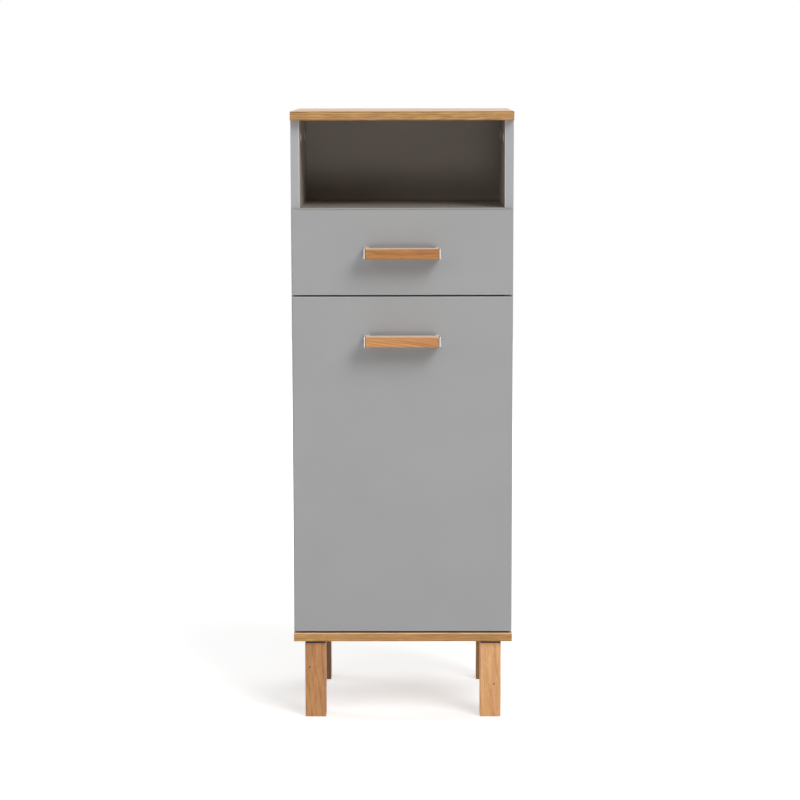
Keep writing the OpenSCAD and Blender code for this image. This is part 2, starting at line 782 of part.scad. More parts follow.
// Goose-neck link on the outside of the turn: two cheeks joined by the sleeve on the arm's pin
module hinge_outer_link(n) color(steel) at_hinge(n) difference() {
  union() {
    plan_slab(link_half - link_cheek, link_half) {
      link_strip(cup_pin_a, arm_pin_a, link_sag, link_t);
      translate(cup_pin_a) circle(eye_a_r);
      translate(arm_pin_a) circle(sleeve_r);
    }
    plan_pin(arm_pin_a, sleeve_r, link_half);
  }
  for (p = [cup_pin_a, arm_pin_a]) plan_pin(p, pin_a_r + pin_fit, link_half + over);
}

// Short link between the cheeks of the other. Its eye on the arm's pin has play, because the four
// bars are opened there.
module hinge_inner_link(n) color(steel) at_hinge(n) difference() {
  full_slab(inner_half) {
    link_strip(cup_pin_b, arm_pin_b, inner_sag, inner_t);
    translate(cup_pin_b) circle(eye_b_r);
    translate(arm_pin_b) circle(open_eye_r);
  }
  plan_pin(cup_pin_b, pin_b_r + pin_fit, inner_half + over);
  plan_pin(arm_pin_b, pin_b_r + open_play, inner_half + over);
}

// Outline of the arm in plan, from its low edge over the mounting plate to its web
module arm_outline() {
  low = panel_t + plate_t + arm_lift;
  tail = low + arm_h;
  crest = arm_pin_a[0] + arm_knuckle_r;
  heel = arm_pin_a[0] - arm_knuckle_r;
  translate(arm_pin_b) circle(arm_nose_r);
  translate(arm_pin_a) circle(arm_knuckle_r);
  polygon([arm_pin_b - [arm_nose_r, 0], arm_pin_b + [arm_nose_r, 0],
           [crest, arm_pin_a[1]], [heel, arm_pin_a[1]]]);
  polygon([[heel, arm_pin_a[1]], [crest, arm_pin_a[1]], [crest, arm_neck_y], [tail, arm_tail_y],
           [tail, arm_end], [low, arm_end], [low, arm_tail_y], [heel, arm_neck_y]]);
}

module hinge_arm(n) color(steel) at_hinge(n) difference() {
  full_slab(arm_half) arm_outline();
  // channel that opens towards the side panel, and the mouth that the links come out of
  full_slab(arm_half - arm_wall) {
    for (k = [0 : 2]) translate([-arm_web - k * arm_h / 2, 0]) arm_outline();
    translate([0, -arm_end / 2]) square([arm_end, arm_end / 2 + arm_open_y]);
  }
  plan_pin(arm_pin_a, pin_a_r + pin_fit / 2, arm_half + over);
  plan_pin(arm_pin_b, pin_b_r + pin_fit / 2, arm_half + over);
  at_arm_screw() translate([0, 0, -arm_h]) cylinder(r = euro_r + fit, h = arm_h + over);
}

// The arm's screw points at the side panel from the outside of the web
module at_arm_screw() translate([panel_t + plate_t + arm_lift + arm_h, arm_end - arm_screw_in, 0])
  rotate([0, 90, 0]) children();

module hinge_arm_pins() color(zinc) at_hinges() {
  plan_pin(arm_pin_a, pin_a_r, arm_half);
  plan_pin(arm_pin_b, pin_b_r, arm_half);
}

module at_plate_holes() for (m = [-1, 1])
  translate([panel_t + plate_t, plate_y, m * plate_screw_z]) rotate([0, 90, 0]) children();

// Cross-shaped plate with the block that the arm sits on
module hinge_plate(n) color(zinc) at_hinge(n) difference() {
  union() {
    translate([panel_t, 0, 0]) rotate([0, 90, 0]) linear_extrude(plate_t) {
      translate([-arm_half, arm_tail_y]) square([2 * arm_half, arm_end - arm_tail_y]);
      translate([-plate_screw_z, plate_y - plate_ear_r]) square([2 * plate_screw_z, 2 * plate_ear_r]);
      for (m = [-1, 1]) translate([m * plate_screw_z, plate_y]) circle(plate_ear_r);
    }
    translate([panel_t, arm_tail_y + block_in, -block_half])
      cube([plate_t + arm_lift + arm_h - arm_web - block_gap, arm_end - arm_tail_y - 2 * block_in,
            2 * block_half]);
  }
  at_plate_holes() csk_hole(euro_r, euro_l, euro_head, euro_head_h);
  at_arm_screw() translate([0, 0, -arm_screw_l - fit]) cylinder(r = euro_r + fit, h = arm_screw_l + over);
}

module hinge_plate_screws() color(zinc) at_hinges() {
  at_plate_holes() csk_screw(euro_r, euro_l, euro_head, euro_head_h);
  at_arm_screw() {
    translate([0, 0, -arm_screw_l]) cylinder(r = euro_r, h = arm_screw_l + arm_screw_head_h);
    cylinder(r = euro_head, h = arm_screw_head_h);
  }
}

module door_panel() color(grey) difference() {
  translate([0, front_y, door_low]) front_panel(front_w, door_top - door_low, panel_t);
  at_door_handle() handle_holes();
  at_hinges() {
    at_cup() translate([0, over, 0]) rotate([90, 0, 0])
      cylinder(r = cup_r + fit, h = cup_h + fit + over, $fn = 64);
    at_cup_screws() csk_hole(cup_screw_r, cup_screw_l, cup_screw_head, flange_t);
  }
}

top_panel();
bottom_panel();
side_panel_left();
side_panel_right();
niche_shelf();
fixed_shelf();
adjustable_shelf();
back_panel();
shelf_pins();
cam_locks();
cam_bolts();
dowels();
leg(0);  // leg_front_left
leg(1);  // leg_back_left
leg(2);  // leg_front_right
leg(3);  // leg_back_right
leg_plates();
leg_plate_screws();
leg_hanger_bolts();
runner_outer_left();
runner_outer_right();
runner_screws();
ball_cage_left();
ball_cage_right();
balls_left();
balls_right();
drawer_front();
drawer_side_left();
drawer_side_right();
drawer_back();
drawer_bottom();
drawer_box_screws();
drawer_cam_locks();
drawer_cam_bolts();
runner_inner_left();
runner_inner_right();
drawer_runner_screws();
drawer_handle_bar();
drawer_handle_brackets();
drawer_handle_screws();
drawer_bumpers();
door_panel();
door_handle_bar();
door_handle_brackets();
door_handle_screws();
door_bumpers();
hinge_cup(1);  // hinge_cup_upper
hinge_cup(0);  // hinge_cup_lower
hinge_cup_pins();
hinge_cup_screws();
hinge_outer_link(1);  // hinge_outer_link_upper
hinge_outer_link(0);  // hinge_outer_link_lower
hinge_inner_link(1);  // hinge_inner_link_upper
hinge_inner_link(0);  // hinge_inner_link_lower
hinge_arm(1);  // hinge_arm_upper
hinge_arm(0);  // hinge_arm_lower
hinge_arm_pins();
hinge_plate(1);  // hinge_plate_upper
hinge_plate(0);  // hinge_plate_lower
hinge_plate_screws();
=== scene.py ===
import bmesh
import bpy
from math import cos, pi, radians, sin
from mathutils import Matrix, Vector


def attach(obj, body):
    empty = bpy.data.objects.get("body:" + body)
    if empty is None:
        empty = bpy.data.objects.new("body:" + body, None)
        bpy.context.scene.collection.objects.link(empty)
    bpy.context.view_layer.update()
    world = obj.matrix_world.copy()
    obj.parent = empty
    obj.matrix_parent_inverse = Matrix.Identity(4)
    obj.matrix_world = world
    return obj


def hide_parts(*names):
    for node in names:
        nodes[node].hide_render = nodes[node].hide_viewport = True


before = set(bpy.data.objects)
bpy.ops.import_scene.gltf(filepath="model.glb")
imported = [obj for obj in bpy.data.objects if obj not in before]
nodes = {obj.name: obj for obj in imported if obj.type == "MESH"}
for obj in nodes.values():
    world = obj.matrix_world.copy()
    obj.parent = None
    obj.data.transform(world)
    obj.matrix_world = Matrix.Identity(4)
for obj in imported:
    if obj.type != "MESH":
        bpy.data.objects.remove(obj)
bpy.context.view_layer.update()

print("frame loaded:", len(nodes), "nodes")


class Wire:  # a socket of a node tree, used in sums as if it were a number
    def __init__(self, graph, socket):
        self.graph = graph
        self.socket = socket

    def maths(self, operation, *values):
        return self.graph.add("ShaderNodeMath", {"operation": operation}, dict(enumerate(values)))

    def __add__(self, other):
        return self.maths("ADD", self, other)

    def __radd__(self, other):
        return self.maths("ADD", other, self)

    def __sub__(self, other):
        return self.maths("SUBTRACT", self, other)

    def __rsub__(self, other):
        return self.maths("SUBTRACT", other, self)

    def __mul__(self, other):
        return self.maths("MULTIPLY", self, other)

    def __rmul__(self, other):
        return self.maths("MULTIPLY", other, self)

    def __truediv__(self, other):
        return self.maths("DIVIDE", self, other)

    def __gt__(self, other):
        return self.maths("GREATER_THAN", self, other)

    def __lt__(self, other):
        return self.maths("LESS_THAN", self, other)

    def __abs__(self):
        return self.maths("ABSOLUTE", self)

    def fraction(self):
        return self.maths("FRACT", self)

    def least(self, other):
        return self.maths("MINIMUM", self, other)

    def most(self, other):
        return self.maths("MAXIMUM", self, other)

    def root(self):
        return self.maths("SQRT", self)

    def ramp(self, low, high, start=0.0, end=1.0):  # smoothly from start at low to end at high
        return self.graph.add(
            "ShaderNodeMapRange",
            {"interpolation_type": "SMOOTHSTEP"},
            {"Value": self, "From Min": low, "From Max": high, "To Min": start, "To Max": end},
        )


class Graph:  # a node tree that any kind of node is added to in one way
    def __init__(self, tree):
        self.tree = tree

    def add(self, kind, settings=None, inputs=None, output=0):
        node = self.tree.nodes.new(kind)
        for key, value in (settings or {}).items():
            setattr(node, key, value)
        for key, value in (inputs or {}).items():
            if isinstance(value, Wire):
                self.tree.links.new(value.socket, node.inputs[key])
            else:
                node.inputs[key].default_value = value
        return Wire(self, node.outputs[output])

    def vector(self, x=0.0, y=0.0, z=0.0):
        return self.add("ShaderNodeCombineXYZ", {}, {0: x, 1: y, 2: z})

    def parts(self, vector, wanted="XYZ"):
        inputs = {0: vector}
        return [self.add("ShaderNodeSeparateXYZ", {}, inputs, output=part) for part in wanted]


def toned(colour, share):
    return tuple(share * value for value in colour)


class Finish(Graph):  # a material, with the place and the facing that it is seen at
    def __init__(self, name, **constants):
        self.material = bpy.data.materials.new(name)
        self.material.use_nodes = True
        super().__init__(self.material.node_tree)
        self.shader = self.tree.nodes["Principled BSDF"]
        for socket, value in constants.items():
            self.shader.inputs[socket.replace("_", " ")].default_value = value
        self.place = self.add("ShaderNodeTexCoord", output="Object")
        self.facing = self.add("ShaderNodeTexCoord", output="Normal")

    def noise(self, vector, scale, detail, roughness):
        return self.add(
            "ShaderNodeTexNoise",
            {},
            {"Vector": vector, "Scale": scale, "Detail": detail, "Roughness": roughness},
        )

    def times(self, vector, factors):
        return self.add("ShaderNodeVectorMath", {"operation": "MULTIPLY"}, {0: vector, 1: factors})

    def drawn(self, grain, stretch, scale, detail, roughness):  # noise drawn out along the grain
        return self.noise(self.times(grain, (stretch, 1, 1)), scale, detail, roughness)

    def mix(self, factor, first, second):
        def full(colour):
            return (*colour, 1) if isinstance(colour, tuple) else colour

        return self.add(
            "ShaderNodeMix",
            {"data_type": "RGBA"},
            {0: factor, 6: full(first), 7: full(second)},
            output=2,
        )

    def around(self, factor, colour, low, high):  # from one tone of a colour to another
        return self.mix(factor, toned(colour, low), toned(colour, high))

    def choose(self, mask, first, second):  # second where mask is 1
        return self.add(
            "ShaderNodeMix", {"data_type": "VECTOR"}, {0: mask, 4: first, 5: second}, output=1
        )

    def feed(self, socket, wire):
        self.tree.links.new(wire.socket, self.shader.inputs[socket])

    def surface(self, colour, roughness, height, depth):
        inputs = {"Height": height, "Distance": depth, "Strength": 1.0}
        self.feed("Base Color", colour)
        self.feed("Roughness", roughness)
        self.feed("Normal", self.add("ShaderNodeBump", {}, inputs))
        return self.material


def dress(material, *names):  # CAD nodes keep their shape and get a finish
    for name in names:
        for place in nodes[name].material_slots:
            place.material = material


def show(name, data):  # a new object in the scene
    thing = bpy.data.objects.new(name, data)
    bpy.context.scene.collection.objects.link(thing)
    return thing


squarely = 0.7  # a face looks along an axis where its normal has more of it than this

# Oak

oakFigure = {  # of all oak: the stretch along the grain, then the noise's scale, detail, roughness
    "fibres": (0.02, 1100, 3, 0.6),
    "pores": (0.03, 1700, 1, 0.4),
    "bands": (0.06, 60, 2, 0.5),
    "tones": (0.05, 85, 1, 0.5),
}
oakFaces = {
    "specular": 0.35,
    "poreDepth": 0.00008,
    "bandShare": 0.24,
    "streakShare": 0.38,
    "fibreShare": 0.25,
    "poreShare": 0.6,
    "earlyWood": 0.55,  # how much of a ring is the porous wood of spring
}

# The veneered boards. The pith (y and z) is the middle of the rings. A ring is so wide on the
# faces, an edge ring so wide on the edge strips
oakBoards = {
    "topOak": {
        "nodes": ["top_panel"],
        "pith": (0.035, -0.085),
        "ring": 0.0068,
        "edgeRing": 0.0042,
        "early": 0.62,
        "paintedEdgeTone": (0.24, 0.115, 0.03),
        "shift": (0.0, 0.0, -1.102),
        "light": (0.64, 0.365, 0.13),
        "deep": (0.27, 0.13, 0.036),
        "blush": (0.59, 0.29, 0.105),
        "pore": (0.19, 0.085, 0.027),
    },
    "bottomOak": {
        "nodes": ["bottom_panel"],
        "pith": (-0.05, -0.07),
        "ring": 0.0062,
        "edgeRing": 0.0044,
        "early": 0.5,
        # a painted highlight along the upper edge
        "paintedEdgeTone": (0.98, 0.66, 0.43),
        "shift": (0.31, 0.0, -0.152),
        "light": (0.655, 0.36, 0.12),
        "deep": (0.32, 0.157, 0.043),
        "blush": (0.615, 0.305, 0.114),
        "pore": (0.19, 0.085, 0.027),
    },
}
veneer = {
    "streaks": (0.09, 330, 2, 0.55),
    "sway": (0.16, 9, 2, 0.5),
    "drift": (0.3, 70, 2, 0.5),
    "swayReach": 0.052,
    "driftReach": 1.3,
    "endSeam": 0.1992,  # from the board's middle to the joint of its end strip
    "seamWidth": 0.00012,
    "seamShare": 0.45,
    "paintedEdgeFrom": 0.0064,  # from the board's mid-plane to the edge strip's upper edge
    "paintedEdgeNoise": (26, 1, 0.5),
    "paintedEdgeShare": (0.45, 0.85),
    "coat": 0.5,  # on the faces that look up
    "coatRoughness": 0.36,
    "roughness": 0.5,
}


def oakGrain(finish, grain, ring, wood, streaks):  # the grain runs along the first axis
    fibres, pores, bands, tones, streaks = (
        finish.drawn(grain, *figure) for figure in (*oakFigure.values(), streaks)
    )
    early = ring.fraction().ramp(0.0, oakFaces["earlyWood"], 1.0, 0.0)
    dark = early * wood["early"] + bands.ramp(0.32, 0.68) * oakFaces["bandShare"]
    dark = dark + streaks.ramp(0.38, 0.62) * oakFaces["streakShare"]
    pale = finish.mix(tones.ramp(0.42, 0.62), wood["light"], wood["blush"])
    colour = finish.mix(dark, pale, wood["deep"])
    fibreTone = fibres.ramp(0.25, 0.75, 0.0, oakFaces["fibreShare"])
    colour = finish.mix(fibreTone, colour, wood["deep"])
    openPore = pores.ramp(0.6, 0.72) * (0.35 + 0.65 * early)  # most of them in the early wood
    colour = finish.mix(openPore * oakFaces["poreShare"], colour, wood["pore"])
    height = 1.0 - openPore - 0.25 * fibres
    return colour, openPore, height


def ringsRound(pith, sideways, upright):  # how far a spot lies from the pith
    across, below = sideways - pith[0], upright - pith[1]
    return (across * across + below * below).root()


def oakBoard(name, wood):
    finish = Finish(
        name, Specular_IOR_Level=oakFaces["specular"], Coat_Roughness=veneer["coatRoughness"]
    )
    inputs = {"Vector": finish.place, "Location": wood["shift"]}
    place = finish.add("ShaderNodeMapping", {"vector_type": "POINT"}, inputs)
    nx, nz = finish.parts(finish.facing, "XZ")
    x, y, z = finish.parts(place)
    endBand, flat = abs(nx) > squarely, abs(nz) > squarely
    grain = finish.choose(endBand, place, finish.vector(y, x, z))
    sway = finish.drawn(grain, *veneer["sway"]) * veneer["swayReach"]
    faceRing = (ringsRound(wood["pith"], y, z) + sway) / wood["ring"]
    drift = finish.drawn(grain, *veneer["drift"])
    bandRing = z / wood["edgeRing"] + drift * veneer["driftReach"]
    paintedEdgeNoise = finish.noise(finish.times(grain, (1, 0, 0)), *veneer["paintedEdgeNoise"])
    ring = faceRing * flat + bandRing * (1.0 - flat)
    colour, openPore, height = oakGrain(finish, grain, ring, wood, veneer["streaks"])
    fromSeam = abs(abs(x - wood["shift"][0]) - veneer["endSeam"])
    seam = (fromSeam < veneer["seamWidth"]) * flat
    colour = finish.mix(seam * veneer["seamShare"], colour, wood["pore"])
    paintedEdgeTone = (z > veneer["paintedEdgeFrom"]) * (1.0 - flat)  # painted tone on the upper edge: a painted highlight on the bottom board, darker on the top board
    paintedEdgeTone = paintedEdgeTone * paintedEdgeNoise.ramp(0.3, 0.6, *veneer["paintedEdgeShare"])
    colour = finish.mix(paintedEdgeTone, colour, wood["paintedEdgeTone"])
    finish.feed("Coat Weight", (nz > squarely) * veneer["coat"])
    rough = veneer["roughness"] + 0.14 * openPore
    return finish.surface(colour, rough, height, oakFaces["poreDepth"])


for name, wood in oakBoards.items():
    dress(oakBoard(name, wood), *wood["nodes"])

# The legs and the handle bars. A mark is a knot or a darker patch: x, z, half its width, half its
# height, its strength and its tone
solidOak = {
    "legOakFrontLeft": {
        "early": 0.34,
        "paintedTopLight": 0.0,
        "nodes": ["leg_front_left"],
        "centre": (-0.161, -0.118, 0.07),
        "turn": (0.07, pi / 2, 0.0),
        "pith": (0.03, 0.03),
        "ring": 0.0058,
        "marks": [
            (-0.1716, 0.0940, 0.0018, 0.0019, 0.92, "knot"),
            (-0.1620, 0.0935, 0.0014, 0.0034, 0.75, "deep"),
            (-0.1557, 0.0945, 0.0035, 0.0026, 0.4, "deep"),
            (-0.1648, 0.1147, 0.0011, 0.0018, 0.7, "deep"),
            (-0.1560, 0.0520, 0.0009, 0.0020, 0.4, "deep"),
        ],
        "light": (0.60, 0.30, 0.112),
        "deep": (0.34, 0.15, 0.048),
        "blush": (0.605, 0.275, 0.114),
        "pore": (0.17, 0.065, 0.02),
    },
    "legOakFrontRight": {
        "early": 0.34,
        "paintedTopLight": 0.0,
        "nodes": ["leg_front_right"],
        "centre": (0.161, -0.118, 0.31),
        "turn": (-0.07, pi / 2, 0.0),
        "pith": (0.055, -0.05),
        "ring": 0.0078,
        "marks": [
            (0.1678, 0.0619, 0.0013, 0.0024, 0.85, "knot"),
            (0.1530, 0.0985, 0.0011, 0.0014, 0.4, "deep"),
            (0.1530, 0.0680, 0.0018, 0.0012, 0.3, "deep"),
        ],
        "light": (0.82, 0.46, 0.20),
        "deep": (0.57, 0.27, 0.10),
        "blush": (0.82, 0.43, 0.205),
        "pore": (0.29, 0.115, 0.038),
    },
    # the back legs' tones are painted darker: painted shade under the cabinet
    "legOakBackLeft": {
        "early": 0.38,
        "paintedTopLight": 0.0,
        "nodes": ["leg_back_left"],
        "centre": (-0.161, 0.151, 0.52),
        "turn": (0.04, pi / 2, 0.0),
        "pith": (-0.05, -0.06),
        "ring": 0.0054,
        "marks": [],
        "light": (0.37, 0.20, 0.06),
        "deep": (0.17, 0.078, 0.02),
        "blush": (0.35, 0.155, 0.05),
        "pore": (0.13, 0.055, 0.018),
    },
    "legOakBackRight": {
        "early": 0.38,
        "paintedTopLight": 0.0,
        "nodes": ["leg_back_right"],
        "centre": (0.161, 0.151, 0.77),
        "turn": (-0.05, pi / 2, 0.0),
        "pith": (0.055, -0.07),
        "ring": 0.0056,
        "marks": [],
        "light": (0.48, 0.235, 0.065),
        "deep": (0.25, 0.105, 0.026),
        "blush": (0.46, 0.19, 0.06),
        "pore": (0.16, 0.065, 0.02),
    },
    "drawerHandleOak": {
        "early": 0.38,
        "paintedTopLight": 0.7,
        "nodes": ["drawer_handle_bar"],
        "centre": (0.0, -0.173, 0.8585),
        "turn": (0.0, 0.0, 0.0),
        "pith": (0.05, -0.03),
        "ring": 0.0034,
        "marks": [
            (0.0320, 0.8593, 0.0085, 0.0040, 0.45, "deep"),
            (0.0010, 0.8510, 0.0060, 0.0022, 0.45, "deep"),
        ],
        "light": (0.515, 0.225, 0.05),
        "deep": (0.27, 0.092, 0.013),
        "blush": (0.515, 0.205, 0.052),
        "pore": (0.17, 0.058, 0.012),
    },
    "doorHandleOak": {
        "early": 0.5,
        "paintedTopLight": 0.7,
        "nodes": ["door_handle_bar"],
        "centre": (0.0, -0.173, 0.701),
        "turn": (0.0, -0.16, 0.0),
        "pith": (-0.04, 0.06),
        "ring": 0.004,
        "marks": [],
        "light": (0.72, 0.345, 0.112),
        "deep": (0.34, 0.13, 0.032),
        "blush": (0.67, 0.30, 0.10),
        "pore": (0.22, 0.08, 0.022),
    },
}
solidFaces = {
    "streaks": (0.05, 330, 2, 0.55),
    "sway": (0.18, 24, 2, 0.5),
    "swayReach": 0.026,
    "partReach": 0.0016,  # how far a knot pushes the rings aside
    "knot": (0.06, 0.022, 0.009),
    "paintedTopLight": (0.90, 0.71, 0.53),
    "coat": 0.1,
    "coatRoughness": 0.32,
    "roughness": 0.44,
}


def oakBlock(name, wood):
    finish = Finish(
        name,
        Specular_IOR_Level=oakFaces["specular"],
        Coat_Weight=solidFaces["coat"],
        Coat_Roughness=solidFaces["coatRoughness"],
    )
    inputs = {0: finish.place, 1: wood["centre"]}
    centred = finish.add("ShaderNodeVectorMath", {"operation": "SUBTRACT"}, inputs)
    inputs = {"Vector": centred, "Rotation": wood["turn"]}
    grain = finish.add("ShaderNodeMapping", {"vector_type": "POINT"}, inputs)
    first, second = finish.parts(grain, "YZ")
    sway = finish.drawn(grain, *solidFaces["sway"]) * solidFaces["swayReach"]
    x, z = finish.parts(finish.place, "XZ")
    spots = []
    for markX, markZ, wide, high, strength, tone in wood["marks"]:
        sideways, upright = (x - markX) / wide, (z - markZ) / high
        away = (sideways * sideways + upright * upright).root()
        spots.append((away.ramp(0.4, 1.3, strength, 0.0), tone))
        if tone == "knot":  # the rings part round a knot
            sway = sway + away.ramp(0.0, 5.0, solidFaces["partReach"], 0.0)
    ring = (ringsRound(wood["pith"], first, second) + sway) / wood["ring"]
    colour, openPore, height = oakGrain(finish, grain, ring, wood, solidFaces["streaks"])
    for spot, tone in spots:
        colour = finish.mix(spot, colour, solidFaces["knot"] if tone == "knot" else wood["deep"])
    if wood["paintedTopLight"]:  # painted light: paler on the faces that look up, as if lit from above
        [nz] = finish.parts(finish.facing, "Z")
        paintedTopLight = nz.ramp(0.2, 0.8, 0.0, wood["paintedTopLight"]) * (0.8 + 0.4 * height)
        colour = finish.mix(paintedTopLight, colour, solidFaces["paintedTopLight"])
    rough = solidFaces["roughness"] + 0.16 * openPore
    return finish.surface(colour, rough, height, oakFaces["poreDepth"])


for name, wood in solidOak.items():
    dress(oakBlock(name, wood), *wood["nodes"])
print("oak boards, legs and handle bars grained")

# Grey laminate

laminate = {
    "grey": (0.346, 0.346, 0.347),
    "edge": (0.40, 0.405, 0.415),
    "strip": (0.46, 0.455, 0.44),
    "paintedArrisHighlight": (0.56, 0.545, 0.56),
    "shelf": (0.265, 0.24, 0.217),
    "left": (0.43, 0.385, 0.338),
    "right": (0.46, 0.412, 0.362),
    "seam": (0.16, 0.16, 0.162),
    "fleck": (0.2, 0.2, 0.2),
    "cloud": (7, 2, 0.5),  # noises: scale, detail, roughness
    "speckle": (2600, 1, 0.5),
    "peel": (900, 2, 0.55),
    "peelDepth": 0.00002,
    "drift": (0.985, 1.015),
    "gap": 0.7805,  # the height of the gap between the two fronts
    "gapBand": 0.003,
    "gapHighlightShare": 0.35,
    "frontEdge": -0.127,
    "innerFace": 0.1857,  # of a side panel, from the middle
    "arrisHighlightShare": 0.85,
    "band": 0.0008,  # how thick the edge strip is
    "seamWidth": 0.00012,
    "seamShare": 0.5,
    "forward": -0.6,
    "edgeForward": -0.3,  # the rounded edges too
    "specular": 0.4,
    "roughness": 0.52,
}


def laminateGrey(name, inside=None, edgeTone="edge"):  # inside: which way its inner faces look
    finish = Finish(name, Specular_IOR_Level=laminate["specular"])
    x, y, z = finish.parts(finish.place)
    nx, ny, nz = finish.parts(finish.facing)
    cloud, speckle, peel = (
        finish.noise(finish.place, *laminate[kind]) for kind in ("cloud", "speckle", "peel")
    )
    colour = finish.around(cloud.ramp(0.3, 0.7), laminate["grey"], *laminate["drift"])
    if inside is None:  # the fronts, with a painted highlight on their edges along the gap between them
        near = (abs(z - laminate["gap"]) < laminate["gapBand"]) * (ny < laminate["edgeForward"])
        colour = finish.mix(near * laminate["gapHighlightShare"], colour, laminate["paintedArrisHighlight"])
    else:
        if inside == "right":
            looksIn = nx > squarely
        elif inside == "left":
            looksIn = nx < -squarely
        else:
            looksIn = abs(nz) > squarely
        # inner faces take their own tones: the side walls lighter than the grey, each by its own
        # amount, as painted light; the shelves darker, partly painted shade
        colour = finish.mix(looksIn, colour, laminate[inside])
        # forward-facing edges take a lighter tone: partly the edge band's own tone, partly painted
        # light
        colour = finish.mix(ny < laminate["forward"], colour, laminate[edgeTone])
        if inside != "shelf":
            # a painted highlight along the inner edge of each side panel's front edge
            paintedArrisHighlight = (abs(x) < laminate["innerFace"]) * (ny < laminate["edgeForward"])
            colour = finish.mix(paintedArrisHighlight * laminate["arrisHighlightShare"], colour, laminate["paintedArrisHighlight"])
        fromSeam = abs(y - (laminate["frontEdge"] + laminate["band"]))
        seam = (fromSeam < laminate["seamWidth"]) * laminate["seamShare"]
        colour = finish.mix(seam, colour, laminate["seam"])
    colour = finish.mix(speckle.ramp(0.35, 0.65, 0.0, 0.05), colour, laminate["fleck"])
    rough = laminate["roughness"] + 0.08 * peel
    return finish.surface(colour, rough, peel, laminate["peelDepth"])


dress(laminateGrey("greyLeftSide", "right"), "side_panel_left")
dress(laminateGrey("greyRightSide", "left"), "side_panel_right")
dress(laminateGrey("greyNicheShelf", "shelf", "strip"), "niche_shelf")
dress(laminateGrey("greyInnerShelves", "shelf", "shelf"), "fixed_shelf", "adjustable_shelf")
dress(laminateGrey("greyFronts"), "drawer_front", "door_panel")
print("grey boards laid")

# Thin boards of the drawer box and the back

liner = {
    "foil": (0.46, 0.445, 0.42),
    # darker than the grey boards, partly painted shade of the niche
    "back": (0.245, 0.213, 0.185),
    "raw": (0.36, 0.27, 0.185),  # the bare board behind
    "rearward": 0.5,
    "stretch": (1, 0.12, 1),
    "weave": (1500, 2, 0.5),
    "weaveDepth": 0.00002,
    "cloud": (5, 2, 0.5),
    "fibre": (420, 4, 0.65),
    "specular": 0.4,
    "roughness": 0.5,
}


def linerFoil(name, colour):
    finish = Finish(name, Specular_IOR_Level=liner["specular"])
    weave = finish.noise(finish.times(finish.place, liner["stretch"]), *liner["weave"])
    cloud = finish.noise(finish.place, *liner["cloud"])
    tint = finish.around(cloud.ramp(0.3, 0.7), colour, 0.97, 1.03)
    tint = finish.mix(weave.ramp(0.3, 0.7, 0.0, 0.08), tint, toned(colour, 0.7))
    if name == "backFoil":
        [ny] = finish.parts(finish.facing, "Y")
        fibre = finish.noise(finish.place, *liner["fibre"])
        bare = finish.around(fibre.ramp(0.3, 0.7), liner["raw"], 0.8, 1.0)
        tint = finish.mix(ny > liner["rearward"], tint, bare)
    rough = liner["roughness"] + 0.12 * weave
    return finish.surface(tint, rough, weave, liner["weaveDepth"])


dress(
    linerFoil("drawerFoil", liner["foil"]),
    "drawer_side_left",
    "drawer_side_right",
    "drawer_back",
    "drawer_bottom",
)
dress(linerFoil("backFoil", liner["back"]), "back_panel")
print("thin boards laid")

# Metal and plastic

metals = {  # brush draws its lines out where it is below 1, spread is how far the tone drifts
    "satinNickel": {
        "colour": (0.45, 0.43, 0.42),
        "paintedTopLight": (0.80, 0.79, 0.79),
        "roughness": 0.4,
        "brush": (1, 1, 0.04),
        "spread": 0.05,
    },
    "zincPlate": {
        "colour": (0.56, 0.57, 0.585),
        "roughness": 0.3,
        "brush": (1, 1, 1),
        "spread": 0.12,
    },
    "rolledSteel": {
        "colour": (0.60, 0.60, 0.605),
        "roughness": 0.24,
        "brush": (1, 0.03, 1),
        "spread": 0.07,
    },
    "ballSteel": {
        "colour": (0.72, 0.72, 0.73),
        "roughness": 0.1,
        "brush": (1, 1, 1),
        "spread": 0.02,
    },
    "camRim": {
        "colour": (0.74, 0.73, 0.71),
        "metallic": 0.3,
        "roughness": 0.4,
        "brush": (1, 1, 1),
        "spread": 0.04,
    },
}
bracketGrooveShade = {  # painted shade in the groove between the outer strip of a bracket and the bar
    "middle": 0.0658,
    "halfWidth": 0.0009,
    "behind": -0.165,
    "share": 0.8,
    "colour": (0.05, 0.045, 0.04),
}
metalFaces = {"lines": (2400, 2, 0.55), "lineDepth": 0.00001, "bloom": (260, 3, 0.6)}


def metal(name, grooveShade=None):
    kind = metals[name]
    finish = Finish(name, Metallic=kind.get("metallic", 1.0))
    brushed = finish.times(finish.place, kind["brush"])
    lines = finish.noise(brushed, *metalFaces["lines"])
    bloom = finish.noise(finish.place, *metalFaces["bloom"])
    colour = finish.around(bloom.ramp(0.25, 0.75), kind["colour"], 1 - kind["spread"], 1.0)
    if "paintedTopLight" in kind:  # painted light: paler on the faces that look up
        [nz] = finish.parts(finish.facing, "Z")
        colour = finish.mix(nz.ramp(0.3, 0.8), colour, kind["paintedTopLight"])
    if grooveShade:
        # painted shade darkens the groove on the bracket's front
        x, y = finish.parts(finish.place, "XY")
        within = abs(abs(x) - grooveShade["middle"]) < grooveShade["halfWidth"]
        shade = within * (y < grooveShade["behind"]) * grooveShade["share"]
        colour = finish.mix(shade, colour, grooveShade["colour"])
    rough = kind["roughness"] + 0.1 * lines + 0.06 * bloom
    return finish.surface(colour, rough, lines, metalFaces["lineDepth"])


